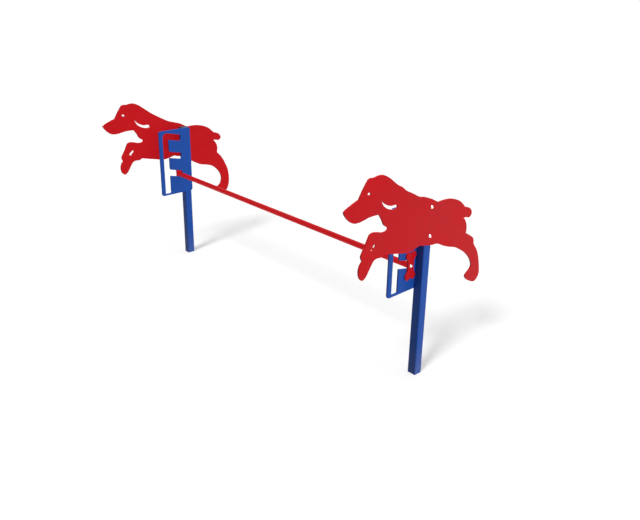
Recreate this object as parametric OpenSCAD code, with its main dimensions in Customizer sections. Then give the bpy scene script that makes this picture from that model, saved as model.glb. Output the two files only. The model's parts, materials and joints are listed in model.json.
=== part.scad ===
// Agility hurdle for a dog park: two posts, each with a notched height plate and a
// leaping-dog panel, and a bar that drops into the notches between them.
// X runs along the bar, the dogs face -Y and Z is up. The origin lies on the ground,
// halfway between the posts and in the middle of the overall depth.

/* [Span] */
// Distance over the outer faces of the two posts
span = 1832; // [1300:0.1:2400]

/* [Posts] */
// Side of the square post tube
post_w = 41.3; // [38:0.1:44]
// Wall of the post tube
post_wall = 3; // [2:0.1:4]
// Outer corner radius of the post tube
post_corner_r = 3.5; // [3:0.1:5]
// Height of the post tube above the ground
post_h = 775.5; // [700:0.5:900]
// Thickness of the visible rim of the post cap
cap_rim = 3; // [2:0.1:5]
// Depth of the cap's plug inside the tube
cap_depth = 7; // [5:0.5:7]
// Wall of the cap's plug
cap_wall = 2; // [1.5:0.1:3]

/* [Height plates] */
// Thickness of the height plate
plate_t = 6.35; // [5:0.05:10]
// Height of the plate, from its lower edge to the top of the capped post
plate_h = 381; // [374:0.5:400]
// Reach of the plate in front of the post's axis
plate_front = 181; // [178.5:0.5:190]
// Reach of the plate behind the post's axis
plate_back = 24.5; // [24:0.5:30]
// Outer corner radius of the plate
plate_corner_r = 13; // [6:0.5:18]
// Width of the upright slot and of the notches
slot_w = 36.5; // [34:0.1:37.5]
// Distance from the post's axis to the front edge of the slot
slot_front = 157; // [152:0.1:159.5]
// Height of the lower end of the slot above the plate's lower edge
slot_foot = 10; // [8:0.5:14]
// Slope of the notches, down towards the post
notch_slope = 12.5; // [8:0.5:15]
// Vertical distance between notches
notch_pitch = 106.7; // [100:0.1:108]
// Height of the bar's axis above the ground in the lowest notch
bar_low_h = 510; // [508:0.5:518]
// Distance of the seated bar's axis in front of the post's axis
seat_front = 55; // [54:0.5:60]
// Radius of the slot's top front corner
slot_top_r = 22; // [6:0.5:26]
// Radius of the lip over each notch's mouth
lip_r = 12; // [3:0.5:14]

/* [Plate welds] */
// Size of a weld bead
weld_r = 3.5; // [2:0.1:3.8]
// Length of each weld bead
weld_len = 50; // [20:1:80]

/* [Dog panels] */
// Thickness of the dog panel
panel_t = 6.35; // [4:0.05:10]
// Distance from the top of the capped post to the upper panel bolt
panel_drop = 19; // [17.5:0.5:30]
// Distance between the two panel bolts
panel_bolt_gap = 122; // [80:1:140]

/* [Bar] */
// Outside diameter of the bar
bar_d = 26.7; // [22:0.1:30]
// Wall of the bar tube
bar_wall = 2.1; // [1.5:0.1:3]
// Length of the threaded insert in each end of the bar
insert_len = 32; // [26:1:60]
// Gap between the seated bar and the notch
seat_gap = 0.4; // [0.2:0.1:1]
// Gap between a bone and the plate beside it
bone_gap = 2; // [1:0.1:3]

/* [Bones] */
// Thickness of the bone plate
bone_t = 6.35; // [4:0.05:8]
// Length of the bone plate
bone_len = 122; // [110:1:140]
// Width of the bone plate over its knuckles
bone_w = 60; // [50:0.5:64]

/* [Fasteners] */
// Thread diameter of every bolt
bolt_d = 8; // [6:1:8]
// Diameter of a button head
head_d = 14; // [12:0.5:15]
// Height of a button head
head_h = 4.4; // [3.5:0.1:5]
// Width across the flats of the hex socket
socket_w = 5; // [4:0.5:6]
// Length of thread past the clamped parts
thread_len = 18; // [14:1:20]
// Diameter of a rivet nut's body
nut_d = 11; // [10:0.5:11.5]
// Diameter of a rivet nut's flange
nut_flange_d = 15; // [14:0.5:18]
// Thickness of a rivet nut's flange
nut_flange_t = 1; // [0.5:0.1:1.5]
// Length of a rivet nut inside the tube
nut_len = 16; // [12:1:20]

/* [Hidden] */
$fn = 64;
bore_play = 0.05;                       // radial clearance of a threaded or pressed pair
hole_play = 0.5;                        // radial clearance of a bolt in a drilled hole
eps = 0.1;                              // overrun of a cutting shape past a face
curve_steps = 5;                        // straight pieces in one span of a curve
arc_steps = 8;                          // straight pieces in one rounded corner

post_out = span / 2;                    // outer face of a post
post_in = post_out - post_w;            // inner face of a post
post_x = post_out - post_w / 2;         // axis of a post
post_top = post_h + cap_rim;            // top of the capped post
plate_low = post_top - plate_h;
plate_in = post_in - plate_t;           // inner face of a height plate
panel_in = post_out + nut_flange_t;     // inner face of a dog panel
panel_out = panel_in + panel_t;
upper_bolt_z = post_top - panel_drop;
lower_bolt_z = upper_bolt_z - panel_bolt_gap;
bone_in = post_in + bone_gap;           // inner face of a bone, which is also the bar's end
bone_out = bone_in + bone_t;
bar_r = bar_d / 2;
bolt_r = bolt_d / 2;
slot_back = slot_front - slot_w;        // distance from the post's axis to the slot's rear edge

// Each outline point is [distance behind the post's axis, height above the upper panel bolt].
// From the brow over the skull to the neck
head = [
    [-415, 116.5], [-397.5, 144.5], [-378.5, 171], [-368.5, 182], [-357.5, 185], [-339.5, 183.5],
    [-313, 187], [-291, 184.5], [-263, 171], [-228.5, 146]];
// The left dog's smooth back, down to the loin
back_left = [
    [-195.5, 122.5], [-158, 100], [-120.5, 79], [-82.5, 60], [-40, 47], [-8.5, 37],
    [19.5, 22.5], [38.5, 12.5]];
// The right dog's back, with a nub on the withers and two low waves behind it
back_right = [
    [-214, 135], [-202, 128], [-190.5, 122.5], [-179, 115], [-166.5, 105], [-154.5, 97],
    [-142.5, 91.5], [-118.5, 80], [-94, 66.5], [-75, 58], [-57, 53.5], [-44.5, 51], [-32, 46],
    [-7, 36.5], [19.5, 23], [38.5, 12.5]];
// From the loin over the rump to the root of the tail
rump = [
    [38.5, 12.5], [78.5, 13.5], [118, 10], [155.5, -0.5], [183.5, -13.5], [204, -29],
    [222.5, -47.5]];
// Around the docked tail
tail = [
    [222.5, -47.5], [241, -52.5], [258, -60.5], [270.5, -74.5], [272.5, -87.5], [264, -98.5],
    [249, -100], [234, -95.5], [219.5, -94.5]];
// Down the thigh towards the hock
thigh = [[219.5, -94.5], [232.5, -109.5], [243.5, -130.5], [246.5, -150.5]];
// The right dog's hind leg, around its foot and forwards to the flank
hind_leg_right = [
    [244.5, -168], [272.5, -184.5], [299, -202.5], [306.5, -215], [309, -232],
    [321, -248.5], [338.5, -271.5], [353.5, -303.5], [364, -340], [370.5, -372],
    [371.5, -386], [365, -404], [352.5, -416], [337.5, -420], [306, -409.5],
    [277, -390], [268, -374.5], [275, -365], [297, -351], [306.5, -335],
    [299.5, -313.5], [280, -286.5], [251, -260], [213.5, -236], [176.5, -216.5], [132.5, -202],
    [96.5, -188.5], [70.5, -175.5], [48, -166.5], [22, -165]];
// The left dog's hind leg hangs steeper
hind_leg_left = [
    [242.5, -175.5], [259.5, -191], [281, -218], [300.5, -253], [315, -285], [323, -317.5],
    [326.5, -351.5], [323, -388.5], [312.5, -417], [293.5, -435], [269, -440.5],
    [240, -427.5], [226, -409], [232.5, -396], [251, -384.5], [264, -365.5], [267.5, -342.5],
    [259.5, -312], [241, -286], [214, -261.5], [186, -247], [155.5, -239], [120.5, -230.5],
    [90.5, -216.5], [58.5, -198.5], [22, -175.5]];
// From the flank along the belly and around the forepaw to the wrist
belly_and_paw = [
    [-20, -157], [-41, -153], [-57, -147.5], [-77.5, -151.5], [-98, -156], [-122.5, -159],
    [-152.5, -155.5], [-191, -146.5], [-226, -139], [-251.5, -132.5], [-269, -130],
    [-285, -137], [-306, -135.5], [-321, -138.5], [-333, -151], [-347.5, -172.5],
    [-363.5, -195], [-380.5, -204], [-395, -193.5], [-402.5, -171], [-400.5, -148.5],
    [-394.5, -136.5], [-385.5, -126.5]];
// From the wrist over the forearm, into the chest, up the throat and around the muzzle
chest_and_muzzle = [
    [-385.5, -126.5], [-391.5, -114], [-393, -104.5], [-383.5, -86.5], [-370, -65],
    [-358.5, -42.5], [-349.5, -30], [-334.5, -26], [-309.5, -30], [-284, -37], [-264.5, -37],
    [-253.5, -28.5], [-262, -20.5], [-277, -10], [-286.5, 7.5], [-299, 27], [-309, 37.5],
    [-326.5, 39], [-359.5, 38.5], [-393.5, 32.5], [-421.5, 31], [-442, 35.5], [-461.5, 48.5],
    [-477.5, 65.5], [-486.5, 79.5], [-487, 85], [-481, 91], [-460.5, 100], [-438.5, 108.5],
    [-415, 116.5]];
// The slit under the ear, along its upper edge and back along its lower edge
ear_top = [[-303, 99], [-284, 78.5], [-262.5, 64], [-241, 57.5], [-221.5, 57], [-208.5, 53], [-206, 46]];
ear_low = [[-206, 46], [-211, 40.5], [-223, 39], [-241, 42.5], [-263, 51.5], [-284, 67.5], [-303, 99]];
eye = [[-367, 129], [-358.5, 126.5]];   // centres of the two ends of the eye
eye_r = 4.5;
paw_hole = [[-338, -94], [-323, -81]];  // centres of the two ends of the hole by the paw
paw_hole_r = 6.5;

// The origin sits midway between the tip of the nose and the back of the right hind leg
panel_reach_front = -min([for (p = stroke(chest_and_muzzle)) p[0]]);
panel_reach_back = max([for (p = stroke(hind_leg_right)) p[0]]);
post_y = (panel_reach_front - panel_reach_back) / 2;

// One quarter of the bone's outline as fractions of its half width and half length
bone_quarter = [
    [0, 0.83], [0.2, 0.92], [0.48, 1], [0.84, 0.93], [1, 0.74], [0.88, 0.57], [0.68, 0.42],
    [0.6, 0.16]];

red = [0.76, 0.12, 0.15];
blue = [0.16, 0.33, 0.66];
steel = [0.82, 0.86, 0.87];
black = [0.08, 0.08, 0.09];

// ---- Curves and corners ----

function unit(v) = v / norm(v);

// Centripetal spline through b and c, with a and d as their neighbours, at t from 0 to 1
function span_point(a, b, c, d, t) =
    let (
        ab = sqrt(norm(b - a)),
        bc = sqrt(norm(c - b)),
        cd = sqrt(norm(d - c)),
        start = bc * ((b - a) / ab - (c - a) / (ab + bc)) + (c - b),
        finish = bc * ((d - c) / cd - (d - b) / (bc + cd)) + (c - b)
    )
    (2 * pow(t, 3) - 3 * pow(t, 2) + 1) * b + (pow(t, 3) - 2 * pow(t, 2) + t) * start
    + (3 * pow(t, 2) - 2 * pow(t, 3)) * c + (pow(t, 3) - pow(t, 2)) * finish;

// Points along an open curve through p, all but the last
function stroke(p) =
    let (last = len(p) - 1)
    [for (i = [0 : last - 1])
        let (
            before = i == 0 ? 2 * p[0] - p[1] : p[i - 1],
            after = i + 2 > last ? 2 * p[last] - p[last - 1] : p[i + 2]
        )
        for (s = [0 : curve_steps - 1]) span_point(before, p[i], p[i + 1], after, s / curve_steps)];

// Points along a closed curve through p
function loop(p) =
    let (n = len(p))
    [for (i = [0 : n - 1]) for (s = [0 : curve_steps - 1])
        span_point(p[(i + n - 1) % n], p[i], p[(i + 1) % n], p[(i + 2) % n], s / curve_steps)];

// Points around a corner at p, between neighbours a and b, rounded to radius r
function corner(a, p, b, r) =
    let (
        u = unit(a - p),
        w = unit(b - p),
        half = acos(u * w) / 2,
        centre = p + unit(u + w) * r / sin(half),
        from = p + u * r / tan(half) - centre,
        to = p + w * r / tan(half) - centre,
        a0 = atan2(from[1], from[0]),
        turn = (atan2(to[1], to[0]) - a0 + 540) % 360 - 180
    )
    [for (i = [0 : arc_steps])
        centre + r * [cos(a0 + turn * i / arc_steps), sin(a0 + turn * i / arc_steps)]];

// Points around a closed outline whose corners are [x, y, radius]
function rounded(p) =
    let (n = len(p), xy = [for (q = p) [q[0], q[1]]])
    [for (i = [0 : n - 1]) each corner(xy[(i + n - 1) % n], xy[i], xy[(i + 1) % n], p[i][2])];

// Points around a slot with round ends of radius r centred on the two points in ends
function slot_points(ends, r) =
    let (heading = atan2(ends[1][1] - ends[0][1], ends[1][0] - ends[0][0]))
    [for (e = [0, 1], i = [0 : 2 * arc_steps])
        let (a = heading + 90 + 180 * e + 180 * i / (2 * arc_steps))
        ends[e] + r * [cos(a), sin(a)]];

// ---- Placing ----

// Puts children on the right-hand unit, or mirrored on the left-hand one
module on_side(left) {
    mirror([left ? 1 : 0, 0, 0]) translate([0, post_y, 0]) children();
}

// Extrudes a 2D outline drawn as [Y, Z] from x to x + t
module sheet(x, t) {
    translate([x, 0, 0]) rotate([90, 0, 90]) linear_extrude(t) children();
}

// A rod or disc along X from x to x + len, at [y, z]
module rod(x, y, z, r, len) {
    translate([x, y, z]) rotate([0, 90, 0]) cylinder(r = r, h = len);
}

module round_square(side, r) {
    polygon(rounded([for (c = [[-1, -1], [1, -1], [1, 1], [-1, 1]]) [c[0] * side / 2, c[1] * side / 2, r]]));
}

// ---- Posts ----

module post(left) {
    color(blue) on_side(left) difference() {
        translate([post_x, 0, 0]) linear_extrude(post_h) difference() {
            round_square(post_w, post_corner_r);
            square(post_w - 2 * post_wall, center = true);
        }
        for (z = [lower_bolt_z, upper_bolt_z])
            rod(post_out - post_wall - eps, 0, z, nut_d / 2 + bore_play, post_wall + 2 * eps);
    }
}

module post_cap(left) {
    plug_w = post_w - 2 * post_wall - 0.4;
    rib = [0.15, 2];
    color(black) on_side(left) translate([post_x, 0, 0]) {
        translate([0, 0, post_h]) linear_extrude(cap_rim) round_square(post_w, post_corner_r);
        translate([0, 0, post_h - cap_depth]) linear_extrude(cap_depth) {
            difference() {
                square(plug_w, center = true);
                square(plug_w - 2 * cap_wall, center = true);
            }
            for (turn = [0 : 90 : 270], side = [-1, 1])
                rotate(turn) translate([plug_w / 2, side * plug_w / 4 - rib[1] / 2]) square(rib);
        }
    }
}

// ---- Height plates ----

// A point beside a seated bar: along the slope towards the post, then square to it
function seat_point(seat_z, along, up) =
    [-seat_front, seat_z]
    + along * [cos(notch_slope), -sin(notch_slope)] + up * [sin(notch_slope), cos(notch_slope)];

// Where a notch edge, at height up from the bar's axis, meets the upright line y
function edge_at(seat_z, up, y) =
    let (p = seat_point(seat_z, 0, up)) [y, p[1] + (p[0] - y) * tan(notch_slope)];

function with_r(p, r) = [p[0], p[1], r];

module plate_outline() {
    polygon(rounded([
        [-plate_front, plate_low, plate_corner_r], [plate_back, plate_low, plate_corner_r],
        [plate_back, post_top, plate_corner_r], [-plate_front, post_top, plate_corner_r]]));
}

// The upright slot with its notches, as one opening
module plate_opening() {
    floor_up = -bar_r - seat_gap;
    roof_up = floor_up + slot_w;
    end_along = bar_r + seat_gap;
    tight_r = 3;
    seat_r = 4;
    roof_r = 8;
    seats = [for (i = [2 : -1 : 0]) bar_low_h + i * notch_pitch];
    slot_low = plate_low + slot_foot;
    polygon(rounded(concat(
        [[-slot_front, slot_low, tight_r], with_r(edge_at(seats[0], roof_up, -slot_front), slot_top_r)],
        [for (i = [0 : len(seats) - 1]) each concat(
            i == 0 ? [] : [with_r(edge_at(seats[i], roof_up, -slot_back), lip_r)],
            [
                with_r(seat_point(seats[i], end_along, roof_up), roof_r),
                with_r(seat_point(seats[i], end_along, floor_up), seat_r),
                with_r(edge_at(seats[i], floor_up, -slot_back), tight_r)
            ])],
        [[-slot_back, slot_low, tight_r]])));
}

module height_plate(left) {
    color(blue) on_side(left) sheet(plate_in, plate_t) difference() {
        plate_outline();
        plate_opening();
    }
}

// Beads in the corners between the post's sides and the height plate
module plate_welds(left) {
    bead_z = [for (share = [0.12, 0.5, 0.88]) plate_low + share * plate_h - weld_len / 2];
    color(blue) on_side(left) for (z = bead_z, side = [-1, 1])
        translate([0, 0, z]) linear_extrude(weld_len) intersection() {
            difference() {
                translate([post_in, side * post_w / 2]) circle(weld_r);
                translate([post_x, 0]) round_square(post_w, post_corner_r);
            }
            translate([post_in, -post_w]) square([post_w, 2 * post_w]);
        }
}

// ---- Dog panels ----

module dog_outline(left) {
    back = left ? back_left : back_right;
    hind_leg = left ? hind_leg_left : hind_leg_right;
    polygon(concat(
        stroke(concat(head, back)), stroke(rump), stroke(tail), stroke(concat(thigh, [hind_leg[0]])),
        stroke(concat(hind_leg, belly_and_paw)), stroke(chest_and_muzzle)));
}

module dog_panel(left) {
    color(red) on_side(left) difference() {
        translate([0, 0, upper_bolt_z]) sheet(panel_in, panel_t) difference() {
            dog_outline(left);
            polygon(concat(stroke(ear_top), stroke(ear_low)));
            polygon(slot_points(eye, eye_r));
            polygon(slot_points(paw_hole, paw_hole_r));
        }
        for (z = [lower_bolt_z, upper_bolt_z])
            rod(panel_in - eps, 0, z, bolt_r + hole_play, panel_t + 2 * eps);
    }
}

// ---- Fasteners ----

// Half section of a bolt whose shank ends at -len and whose domed head stands on zero
module bolt_profile(len) {
    edge_h = 0.7;                       // upright edge under the dome
    dome_h = head_h - edge_h;
    dome_r = (pow(head_d / 2, 2) + pow(dome_h, 2)) / (2 * dome_h);
    rim_angle = asin(head_d / 2 / dome_r);
    dome = [for (i = [0 : arc_steps])
        let (a = rim_angle * (1 - i / arc_steps)) [dome_r * sin(a), head_h - dome_r * (1 - cos(a))]];
    polygon(concat([[0, -len], [bolt_r, -len], [bolt_r, 0], [head_d / 2, 0]], dome));
}

// A button-head bolt along X: its head stands on x_seat and its shank runs back by len
module button_bolt(x_seat, y, z, len) {
    socket_depth = 2.6;
    difference() {
        translate([x_seat, y, z]) rotate([0, 90, 0]) rotate_extrude() bolt_profile(len);
        translate([x_seat + head_h - socket_depth, y, z]) rotate([0, 90, 0])
            cylinder(d = socket_w / cos(30), h = socket_depth + eps, $fn = 6);
    }
}

// A crimped rivet nut: flange outside the wall, collar behind it
module rivet_nut(z) {
    collar = [nut_d / 2 + 1.2, 4];
    difference() {
        union() {
            rod(post_out, 0, z, nut_flange_d / 2, nut_flange_t);
            rod(post_out - nut_len, 0, z, nut_d / 2, nut_len + eps);
            rod(post_out - post_wall - collar[1], 0, z, collar[0], collar[1]);
        }
        rod(post_out - nut_len - eps, 0, z, bolt_r + bore_play, nut_len + nut_flange_t + 2 * eps);
    }
}

module panel_bolts(left) {
    color(steel) on_side(left) for (z = [lower_bolt_z, upper_bolt_z])
        button_bolt(panel_out, 0, z, panel_t + nut_flange_t + thread_len);
}

module rivet_nuts(left) {
    color(steel) on_side(left) for (z = [lower_bolt_z, upper_bolt_z]) rivet_nut(z);
}

// ---- Bar and bones ----

module bar_tube() {
    color(red) translate([0, post_y, 0]) difference() {
        rod(-bone_in, -seat_front, bar_low_h, bar_r, 2 * bone_in);
        rod(-bone_in - eps, -seat_front, bar_low_h, bar_r - bar_wall, 2 * bone_in + 2 * eps);
    }
}

module bar_insert(left) {
    color(steel) on_side(left) difference() {
        rod(bone_in - insert_len, -seat_front, bar_low_h, bar_r - bar_wall - bore_play, insert_len);
        rod(bone_in - insert_len - eps, -seat_front, bar_low_h, bolt_r + bore_play, insert_len + 2 * eps);
    }
}

module bone_outline() {
    n = len(bone_quarter);
    right_half = concat(
        bone_quarter, [for (i = [n - 1 : -1 : 0]) [bone_quarter[i][0], -bone_quarter[i][1]]]);
    left_half = [for (i = [len(right_half) - 2 : -1 : 1]) [-right_half[i][0], right_half[i][1]]];
    polygon([for (p = loop(concat(right_half, left_half))) [p[0] * bone_w / 2, p[1] * bone_len / 2]]);
}

module bone(left) {
    color(red) on_side(left) difference() {
        translate([0, -seat_front, bar_low_h]) sheet(bone_in, bone_t) bone_outline();
        rod(bone_in - eps, -seat_front, bar_low_h, bolt_r + hole_play, bone_t + 2 * eps);
    }
}

module bone_bolt(left) {
    color(steel) on_side(left) button_bolt(bone_out, -seat_front, bar_low_h, bone_t + thread_len);
}

post(true);  // left_post
post(false);  // right_post
post_cap(true);  // left_post_cap
post_cap(false);  // right_post_cap
height_plate(true);  // left_height_plate
height_plate(false);  // right_height_plate
plate_welds(true);  // left_plate_welds
plate_welds(false);  // right_plate_welds
dog_panel(true);  // left_dog_panel
dog_panel(false);  // right_dog_panel
panel_bolts(true);  // left_panel_bolts
panel_bolts(false);  // right_panel_bolts
rivet_nuts(true);  // left_rivet_nuts
rivet_nuts(false);  // right_rivet_nuts
bar_tube();
bar_insert(true);  // left_bar_insert
bar_insert(false);  // right_bar_insert
bone(true);  // left_bone
bone(false);  // right_bone
bone_bolt(true);  // left_bone_bolt
bone_bolt(false);  // right_bone_bolt
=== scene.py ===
"""Looks for the dog agility hurdle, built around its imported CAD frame. Metres, row frame."""

import json
import math

import bmesh
import bpy
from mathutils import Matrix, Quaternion, Vector


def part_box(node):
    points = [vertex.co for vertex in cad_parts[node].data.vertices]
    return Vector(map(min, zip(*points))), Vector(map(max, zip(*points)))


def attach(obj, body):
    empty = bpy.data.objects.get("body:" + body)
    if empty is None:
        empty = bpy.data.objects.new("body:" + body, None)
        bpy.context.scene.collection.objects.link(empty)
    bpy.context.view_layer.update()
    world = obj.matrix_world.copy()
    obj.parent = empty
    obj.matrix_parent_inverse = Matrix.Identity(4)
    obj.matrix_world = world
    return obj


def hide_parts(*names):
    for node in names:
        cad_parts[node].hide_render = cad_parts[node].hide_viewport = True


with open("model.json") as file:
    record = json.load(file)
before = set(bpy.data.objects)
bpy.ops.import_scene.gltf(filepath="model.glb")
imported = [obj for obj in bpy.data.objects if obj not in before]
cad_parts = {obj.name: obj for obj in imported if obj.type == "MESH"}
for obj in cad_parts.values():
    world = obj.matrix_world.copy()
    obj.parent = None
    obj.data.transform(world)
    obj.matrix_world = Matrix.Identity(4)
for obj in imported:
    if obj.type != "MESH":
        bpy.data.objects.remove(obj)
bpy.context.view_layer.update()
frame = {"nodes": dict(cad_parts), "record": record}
scene = bpy.context.scene

MM = 0.001

# ---- Node tree helpers ----


class Tree:
    """Adds nodes to a material or world tree and links them by socket name."""

    def __init__(self, owner):
        owner.use_nodes = True
        self.tree = owner.node_tree
        self.tree.nodes.clear()

    def add(self, kind, inputs=None, **settings):
        node = self.tree.nodes.new(kind)
        for key, value in settings.items():
            setattr(node, key, value)
        for key, value in (inputs or {}).items():
            self.put(node.inputs[key], value)
        return node

    def put(self, socket, value):
        if isinstance(value, bpy.types.NodeSocket):
            self.tree.links.new(value, socket)
        else:
            socket.default_value = value

    def coords(self):
        return self.add("ShaderNodeTexCoord").outputs["Object"]

    def noise(self, coords, scale, detail, roughness=0.55):
        node = self.add(
            "ShaderNodeTexNoise",
            {"Vector": coords, "Scale": scale, "Detail": detail, "Roughness": roughness},
        )
        return node.outputs["Fac"]

    def spread(self, value, low, high, to_low, to_high):
        """Maps value from low..high to to_low..to_high, clamped."""
        node = self.add(
            "ShaderNodeMapRange",
            {
                "Value": value,
                "From Min": low,
                "From Max": high,
                "To Min": to_low,
                "To Max": to_high,
            },
        )
        return node.outputs["Result"]

    def math(self, operation, a, b, c=0.0):
        node = self.add("ShaderNodeMath", {0: a, 1: b, 2: c}, operation=operation)
        return node.outputs[0]

    def dot(self, a, b):
        node = self.add("ShaderNodeVectorMath", {0: a, 1: b}, operation="DOT_PRODUCT")
        return node.outputs["Value"]

    def mix(self, factor, a, b):
        """Colour a where factor is nought and colour b where it is one."""
        node = self.add("ShaderNodeMix", data_type="RGBA")
        colour_a, colour_b, colour_out = 6, 7, 2
        self.put(node.inputs["Factor"], factor)
        self.put(node.inputs[colour_a], a)
        self.put(node.inputs[colour_b], b)
        return node.outputs[colour_out]

    def rounded_normal(self, radius):
        """The surface normal, turned as if every edge were rounded to the radius."""
        return self.add("ShaderNodeBevel", {"Radius": radius}, samples=6).outputs["Normal"]

    def edge_mask(self, radius):
        """One along edges, nought on flat faces: where a rounded normal leaves the true one."""
        true = self.add("ShaderNodeNewGeometry").outputs["True Normal"]
        agreement = self.dot(self.rounded_normal(radius), true)
        return self.spread(agreement, 0.985, 0.8, 0.0, 1.0)

    def stretched(self, coords, axis, share, **turn):
        """Coordinates that draw a texture out along one axis."""
        scale = [1.0, 1.0, 1.0]
        scale[axis] = share
        node = self.add("ShaderNodeMapping", {"Vector": coords, "Scale": scale, **turn})
        return node.outputs["Vector"]

    def scratches(self, coords, axis):
        """Sparse hairlines that run mostly along one axis, in a few patches."""
        drawn = self.stretched(coords, axis, 0.03, Rotation=(0.21, 0.16, 0.12))
        lines = self.spread(self.noise(drawn, scale=520.0, detail=1.0), 0.70, 0.76, 0.0, 1.0)
        patches = self.spread(self.noise(coords, scale=5.0, detail=2.0), 0.48, 0.62, 0.0, 1.0)
        return self.math("MULTIPLY", lines, patches)

    def bump(self, height, strength, depth, normal):
        node = self.add(
            "ShaderNodeBump",
            {"Height": height, "Strength": strength, "Distance": depth, "Normal": normal},
        )
        return node.outputs["Normal"]

    def surface(self, **inputs):
        """Ends the tree in a surface whose inputs are named with _ for each space."""
        shader = self.add("ShaderNodeBsdfPrincipled")
        for key, value in inputs.items():
            self.put(shader.inputs[key.replace("_", " ")], value)
        out = self.add("ShaderNodeOutputMaterial")
        self.tree.links.new(shader.outputs["BSDF"], out.inputs["Surface"])


def tint(colour, share):
    return tuple(min(1.0, c * share) for c in colour) + (1.0,)


# ---- Materials, one for each material slot of the record ----

X, Y, Z = 0, 1, 2

BLUE = (0.012, 0.071, 0.35)
BLUE_WORN = (0.035, 0.12, 0.45, 1.0)
RED = (0.53, 0.004, 0.008)
RED_WORN = (0.66, 0.06, 0.06, 1.0)
# Painted light: the bar's red and worn red are brighter copies of RED and RED_WORN, making up
# for the light that the bar gets less of.
BAR_RED_PAINTED_LIGHT = (0.7, 0.005, 0.009)
BAR_WORN_PAINTED_LIGHT = (0.75, 0.08, 0.08, 1.0)
BRIGHT_STEEL = (0.86, 0.9, 0.9)
ZINC = (0.62, 0.64, 0.66)
ALUMINIUM = (0.78, 0.79, 0.8)
BLACK = (0.018, 0.018, 0.02)
BLACK_SCUFFED = (0.09, 0.09, 0.095, 1.0)
DUST = (0.33, 0.30, 0.26, 1.0)
DUST_TOP = 0.16  # height above the ground where the dust ends


def powder_coat(name, colour, worn, roughness, scratch_axis):
    """Satin powder coat: clouds, speckle, orange peel with painted shade in its low points,
    hairlines, worn edges, dust low down.
    """
    material = bpy.data.materials.new(name)
    t = Tree(material)
    at = t.coords()
    cloud = t.noise(at, scale=7.0, detail=2.0)
    speckle = t.noise(at, scale=1400.0, detail=2.0)
    peel = t.noise(at, scale=420.0, detail=2.0, roughness=0.4)
    chip = t.noise(at, scale=90.0, detail=4.0, roughness=0.7)
    base = t.mix(t.spread(cloud, 0.3, 0.7, 0.0, 1.0), tint(colour, 0.94), tint(colour, 1.06))
    base = t.mix(t.spread(speckle, 0.35, 0.65, 0.0, 0.14), base, tint(colour, 1.4))
    # Painted shade: the coat is darker in the low points of the orange peel, the same noise
    # that drives its bump.
    base = t.mix(t.spread(peel, 0.3, 0.7, 0.10, 0.0), base, tint(colour, 0.6))

    hairline = t.scratches(at, scratch_axis)
    base = t.mix(t.math("MULTIPLY", hairline, 0.35), base, worn)

    height = t.add("ShaderNodeSeparateXYZ", {"Vector": at}).outputs["Z"]
    dust_by_height = t.spread(height, 0.0, DUST_TOP, 0.16, 0.0)
    dust = t.math("MULTIPLY", dust_by_height, t.spread(chip, 0.35, 0.6, 0.3, 1.0))
    base = t.mix(dust, base, DUST)

    wear = t.math("MULTIPLY", t.edge_mask(0.9 * MM), t.spread(chip, 0.42, 0.66, 0.12, 0.75))
    base = t.mix(wear, base, worn)

    rough = t.spread(cloud, 0.3, 0.7, roughness - 0.05, roughness + 0.05)
    rough = t.math("MULTIPLY_ADD", wear, -0.12, rough)
    rough = t.math("MULTIPLY_ADD", hairline, 0.12, rough)

    normal = t.bump(peel, 0.85, 0.2 * MM, t.rounded_normal(0.6 * MM))
    normal = t.bump(speckle, 0.35, 0.04 * MM, normal)
    t.surface(Base_Color=base, Roughness=rough, Normal=normal, Specular_IOR_Level=0.18)
    return material


def metal(name, colour, roughness, grain_axis, grain):
    """Bare metal with fine drawn or turned grain along one axis, and dull patches."""
    material = bpy.data.materials.new(name)
    t = Tree(material)
    at = t.coords()
    drawn = t.stretched(at, grain_axis, 0.04)
    lines = t.noise(drawn, scale=grain, detail=3.0, roughness=0.6)
    patch = t.noise(at, scale=160.0, detail=2.0)
    base = t.mix(t.spread(patch, 0.3, 0.7, 0.0, 1.0), tint(colour, 0.9), tint(colour, 1.06))
    base = t.mix(t.spread(lines, 0.3, 0.7, 0.0, 0.3), base, tint(colour, 0.72))
    t.surface(
        Base_Color=base,
        Metallic=1.0,
        Roughness=t.spread(lines, 0.25, 0.75, roughness - 0.07, roughness + 0.09),
        Normal=t.bump(lines, 0.3, 0.03 * MM, t.rounded_normal(0.25 * MM)),
    )
    return material


def moulded_plastic(name, colour, scuffed):
    """Moulded plastic with a fine spark-eroded texture and scuffed edges."""
    material = bpy.data.materials.new(name)
    t = Tree(material)
    at = t.coords()
    grain = t.noise(at, scale=1900.0, detail=2.0, roughness=0.5)
    scuff = t.noise(at, scale=120.0, detail=4.0, roughness=0.7)
    wear = t.math("MULTIPLY", t.edge_mask(0.8 * MM), t.spread(scuff, 0.4, 0.65, 0.0, 0.8))
    base = t.mix(t.spread(scuff, 0.35, 0.7, 0.0, 1.0), tint(colour, 0.8), tint(colour, 1.5))
    t.surface(
        Base_Color=t.mix(wear, base, scuffed),
        Roughness=t.spread(grain, 0.3, 0.7, 0.48, 0.64),
        Normal=t.bump(grain, 0.5, 0.05 * MM, t.rounded_normal(0.7 * MM)),
        Specular_IOR_Level=0.4,
    )
    return material


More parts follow.
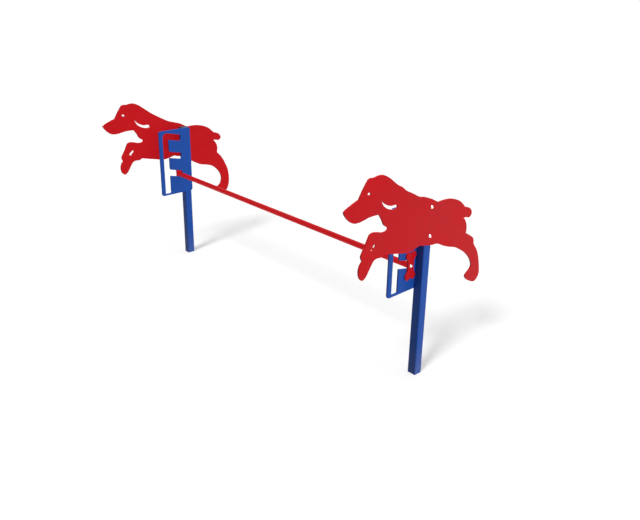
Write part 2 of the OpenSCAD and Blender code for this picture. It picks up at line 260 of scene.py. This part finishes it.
MATERIALS = {
    "blue_paint": powder_coat("blue_powder_coat", BLUE, BLUE_WORN, 0.46, Z),
    "red_paint": powder_coat("red_powder_coat", RED, RED_WORN, 0.48, Y),
    # The bar's coat takes the brightened reds: painted light.
    "red_bar_paint": powder_coat("bar_powder_coat_painted_light", BAR_RED_PAINTED_LIGHT, BAR_WORN_PAINTED_LIGHT, 0.42, X),
    "stainless": metal("bright_stainless", BRIGHT_STEEL, 0.22, Y, 900.0),
    "zinc_plate": metal("zinc_plated_steel", ZINC, 0.36, Z, 700.0),
    "insert_aluminium": metal("turned_aluminium", ALUMINIUM, 0.3, Y, 1100.0),
    "cap_plastic": moulded_plastic("black_cap_plastic", BLACK, BLACK_SCUFFED),
}

slot_of = {row["node"]: row["material_slot"] for row in frame["record"]["subparts"]}

# ---- CAD nodes ----

SHARP_ANGLE = math.radians(32)


def smooth_shading():
    """A modifier tree that joins the faces' shared corners and keeps only real edges sharp."""
    group = bpy.data.node_groups.new("smooth_by_angle", "GeometryNodeTree")
    group.interface.new_socket("Geometry", in_out="INPUT", socket_type="NodeSocketGeometry")
    group.interface.new_socket("Geometry", in_out="OUTPUT", socket_type="NodeSocketGeometry")
    nodes, links = group.nodes, group.links
    start = nodes.new("NodeGroupInput")
    finish = nodes.new("NodeGroupOutput")
    merge = nodes.new("GeometryNodeMergeByDistance")
    merge.inputs["Distance"].default_value = 0.002 * MM
    smooth = nodes.new("GeometryNodeSetShadeSmooth")
    smooth.domain = "FACE"
    smooth.inputs["Shade Smooth"].default_value = True
    sharp = nodes.new("GeometryNodeSetShadeSmooth")
    sharp.domain = "EDGE"
    sharp.inputs["Shade Smooth"].default_value = False
    angle = nodes.new("GeometryNodeInputMeshEdgeAngle")
    over = nodes.new("FunctionNodeCompare")
    over.operation = "GREATER_THAN"
    over.inputs["B"].default_value = SHARP_ANGLE
    links.new(start.outputs[0], merge.inputs["Geometry"])
    links.new(merge.outputs["Geometry"], smooth.inputs["Geometry"])
    links.new(smooth.outputs["Geometry"], sharp.inputs["Geometry"])
    links.new(angle.outputs["Unsigned Angle"], over.inputs["A"])
    links.new(over.outputs["Result"], sharp.inputs["Selection"])
    links.new(sharp.outputs["Geometry"], finish.inputs[0])
    return group


def finish_node(name, node, shading):
    """Gives a CAD node its material, and smooth shading in place of its stored normals."""
    node.data.materials.clear()
    node.data.materials.append(MATERIALS[slot_of[name]])
    if "custom_normal" in node.data.attributes:
        node.data.attributes.remove(node.data.attributes["custom_normal"])
    node.modifiers.new(shading.name, "NODES").node_group = shading


node_shading = smooth_shading()
for node_name, node_object in frame["nodes"].items():
    finish_node(node_name, node_object, node_shading)

# ---- Weld beads: rippled fillets in place of the plain CAD ones ----

RIPPLE = 3.4 * MM  # length of one ripple
RINGS_PER_RIPPLE = 6
ARC_POINTS = 9  # points across the open face of a bead
RIPPLE_SHARE = 0.10  # part of the radius that the ripples take up
CREST_AT = 0.15  # place of the crest within a ripple
END_SHARE = 0.30  # part of the radius left at a bead's ends
FACE_SINK = 0.05 * MM  # how far the edges of the open face sink into the steel
SIDE_SINK = 0.3 * MM  # how far the hidden sides sink into it
ROOT_DEPTH = 1.6 * MM  # how far the root reaches under the tube's round corner
SIDE_REACH = 4.2 * MM  # how far the hidden side runs along the post, past that corner
BEAD_SHARP_ANGLE = math.radians(50)


def quarter_circle(share):
    """Rises from nought to one along a quarter circle as share does, and stays at one."""
    return math.sqrt(1.0 - max(0.0, 1.0 - share) ** 2)


def bead(bm, corner, along_plate, along_post, low, high, radius):
    """A closed rippled fillet up the corner between a height plate and a post's side."""
    rings = round((high - low) / RIPPLE * RINGS_PER_RIPPLE)
    rows = []
    for i in range(rings + 1):
        share = i / rings
        z = low + share * (high - low)
        phase = (z - low) / RIPPLE % 1.0
        crest = math.sqrt(1.0 - (phase - CREST_AT) ** 2)
        swell = 1.0 - RIPPLE_SHARE + RIPPLE_SHARE * crest
        from_end = min(share, 1.0 - share) * (high - low)
        taper = END_SHARE + (1.0 - END_SHARE) * quarter_circle(from_end / radius)
        reach = radius * swell * taper
        ring = [corner - along_post * SIDE_SINK - along_plate * ROOT_DEPTH]
        for k in range(ARC_POINTS):
            a = math.pi / 2 * k / (ARC_POINTS - 1)
            lean = along_plate * math.cos(a) + along_post * math.sin(a)
            ring.append(corner + lean * reach - (along_plate + along_post) * FACE_SINK)
        ring.append(corner + along_post * SIDE_REACH - along_plate * SIDE_SINK)
        rows.append([bm.verts.new((p.x, p.y, z)) for p in ring])
    sides = len(rows[0])
    for low_row, high_row in zip(rows, rows[1:]):
        for k in range(sides):
            n = (k + 1) % sides
            bm.faces.new((low_row[k], low_row[n], high_row[n], high_row[k]))
    bm.faces.new(rows[0][::-1])
    bm.faces.new(rows[-1])


def weld_piece(side):
    """All beads of one side, in the places of that side's CAD weld node."""
    node = side + "_plate_welds"
    post_low, post_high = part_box(side + "_post")
    plate_low, plate_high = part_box(side + "_height_plate")
    verts = [v.co for v in frame["nodes"][node].data.vertices]
    heights = sorted({round(v.z, 6) for v in verts})  # each bead's lower and upper end
    outward = 1.0 if post_low.x > 0 else -1.0
    plate_face = plate_high.x if outward > 0 else plate_low.x
    radius = max(abs(v.x - plate_face) for v in verts)
    bm = bmesh.new()
    for low, high in zip(heights[0::2], heights[1::2]):
        for y, turn in ((post_low.y, -1.0), (post_high.y, 1.0)):
            corner = Vector((plate_face, y, 0.0))
            along_plate = Vector((0.0, turn, 0.0))
            along_post = Vector((outward, 0.0, 0.0))
            bead(bm, corner, along_plate, along_post, low, high, radius)
    bmesh.ops.recalc_face_normals(bm, faces=bm.faces)
    mesh = bpy.data.meshes.new(side + "_weld_beads")
    bm.to_mesh(mesh)
    bm.free()
    mesh.shade_smooth()
    mesh.set_sharp_from_angle(angle=BEAD_SHARP_ANGLE)
    mesh.materials.append(MATERIALS[slot_of[node]])
    piece = bpy.data.objects.new(side + "_weld_beads", mesh)
    scene.collection.objects.link(piece)
    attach(piece, "frame")
    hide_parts(node)


weld_piece("left")
weld_piece("right")

# ---- Floor ----

FLOOR_REACH = 60.0
FLOOR_GLOW = 0.33  # lifts the floor to white where the camera or a shiny face sees it
FLOOR_PALE = (0.8, 0.8, 0.8, 1.0)
FLOOR_DIMMER = (0.79, 0.79, 0.79, 1.0)
FLOOR_BOUNCE = (0.2, 0.2, 0.2, 1.0)  # the floor's colour for the soft light it sends back


def floor():
    """A wide pale floor that runs past the horizon of the view."""
    mesh = bpy.data.meshes.new("floor")
    turns = ((-1, -1), (1, -1), (1, 1), (-1, 1))
    corners = [(x * FLOOR_REACH, y * FLOOR_REACH, 0) for x, y in turns]
    mesh.from_pydata(corners, [], [(0, 1, 2, 3)])
    material = bpy.data.materials.new("pale_floor")
    t = Tree(material)
    soft = t.noise(t.coords(), scale=1.5, detail=2.0)
    pale = t.mix(t.spread(soft, 0.3, 0.7, 0.0, 1.0), FLOOR_DIMMER, FLOOR_PALE)
    path = t.add("ShaderNodeLightPath").outputs
    seen = t.math("MAXIMUM", path["Is Camera Ray"], path["Is Glossy Ray"])
    t.surface(
        Base_Color=t.mix(seen, FLOOR_BOUNCE, pale),
        Roughness=1.0,
        Specular_IOR_Level=0.0,
        Emission_Color=(1.0, 1.0, 1.0, 1.0),
        Emission_Strength=t.math("MULTIPLY", seen, FLOOR_GLOW),
    )
    mesh.materials.append(material)
    plane = bpy.data.objects.new("floor", mesh)
    scene.collection.objects.link(plane)
    return plane


ground = floor()

# ---- Light ----

SKY_DIM, SKY_BRIGHT = 0.25, 0.55  # the sky as soft light, on its dim and its bright side
MIRROR_DIM, MIRROR_BRIGHT = 0.45, 1.0  # the same sky in reflections


def toward(azimuth, elevation):
    """Unit vector to a place in the sky: azimuth 0 is -Y and 90 is +X."""
    a, e = math.radians(azimuth), math.radians(elevation)
    return Vector((math.sin(a) * math.cos(e), -math.cos(a) * math.cos(e), math.sin(e)))


def studio():
    """White to the camera; as light, an even soft sky that is dimmer towards -Y."""
    world = bpy.data.worlds.new("studio")
    scene.world = world
    t = Tree(world)
    heading = t.add("ShaderNodeTexCoord").outputs["Generated"]
    side = t.dot(heading, toward(azimuth=130, elevation=20))
    sky = t.spread(side, -0.8, 0.9, SKY_DIM, SKY_BRIGHT)
    mirror = t.spread(side, -0.9, 0.6, MIRROR_DIM, MIRROR_BRIGHT)
    path = t.add("ShaderNodeLightPath").outputs
    level = t.math("MULTIPLY_ADD", path["Is Glossy Ray"], t.math("SUBTRACT", mirror, sky), sky)
    to_white = t.math("SUBTRACT", 1.0, level)
    level = t.math("MULTIPLY_ADD", path["Is Camera Ray"], to_white, level)
    glow = t.add("ShaderNodeBackground", {"Color": (1, 1, 1, 1), "Strength": level})
    out = t.add("ShaderNodeOutputWorld")
    t.tree.links.new(glow.outputs[0], out.inputs["Surface"])


def sun(name, targets, azimuth, elevation, strength, spread, shadow=False):
    """A far lamp that lights only its targets."""
    data = bpy.data.lights.new(name, "SUN")
    data.energy = strength
    data.angle = math.radians(spread)
    data.use_shadow = shadow
    lamp = bpy.data.objects.new(name, data)
    lamp.rotation_euler = toward(azimuth, elevation).to_track_quat("Z", "Y").to_euler()
    scene.collection.objects.link(lamp)
    group = bpy.data.collections.new(name + "_targets")
    for target in targets:
        group.objects.link(target)
    lamp.light_linking.receiver_collection = group


studio()
bar = frame["nodes"]["bar_tube"]
others = [o for o in scene.objects if o.type == "MESH" and o not in (ground, bar)]
sun("shadow_sun", [ground], azimuth=14, elevation=48, strength=1.9, spread=15, shadow=True)
sun("key_sun", others, azimuth=92, elevation=50, strength=3.0, spread=5)
sun("fill_sun", others, azimuth=262, elevation=15, strength=1.7, spread=5)
sun("bar_sun", [bar], azimuth=150, elevation=75, strength=1.4, spread=5)
sun("bounce_sun", [bar], azimuth=0, elevation=-25, strength=1.35, spread=5)

# ---- Camera ----

EYE = (2.4939, -2.0074, 1.6203)
VIEW_AZIMUTH = 49.43
VIEW_ELEVATION = 20.13
VIEW_ROLL = 0.18
LENS, SENSOR_WIDTH = 38.4, 36.0
SHIFT_X, SHIFT_Y = 0.043, -0.0575
CLIP_NEAR, CLIP_FAR = 0.05, 400.0


def camera():
    data = bpy.data.cameras.new("camera")
    data.lens = LENS
    data.sensor_width = SENSOR_WIDTH
    data.shift_x = SHIFT_X
    data.shift_y = SHIFT_Y
    data.clip_start = CLIP_NEAR
    data.clip_end = CLIP_FAR
    eye = bpy.data.objects.new("camera", data)
    eye.location = EYE
    turn = toward(VIEW_AZIMUTH, VIEW_ELEVATION).to_track_quat("Z", "Y")
    eye.rotation_mode = "QUATERNION"
    eye.rotation_quaternion = turn @ Quaternion((0, 0, 1), math.radians(VIEW_ROLL))
    scene.collection.objects.link(eye)
    scene.camera = eye


camera()
scene.view_settings.view_transform = "Standard"
scene.view_settings.look = "None"
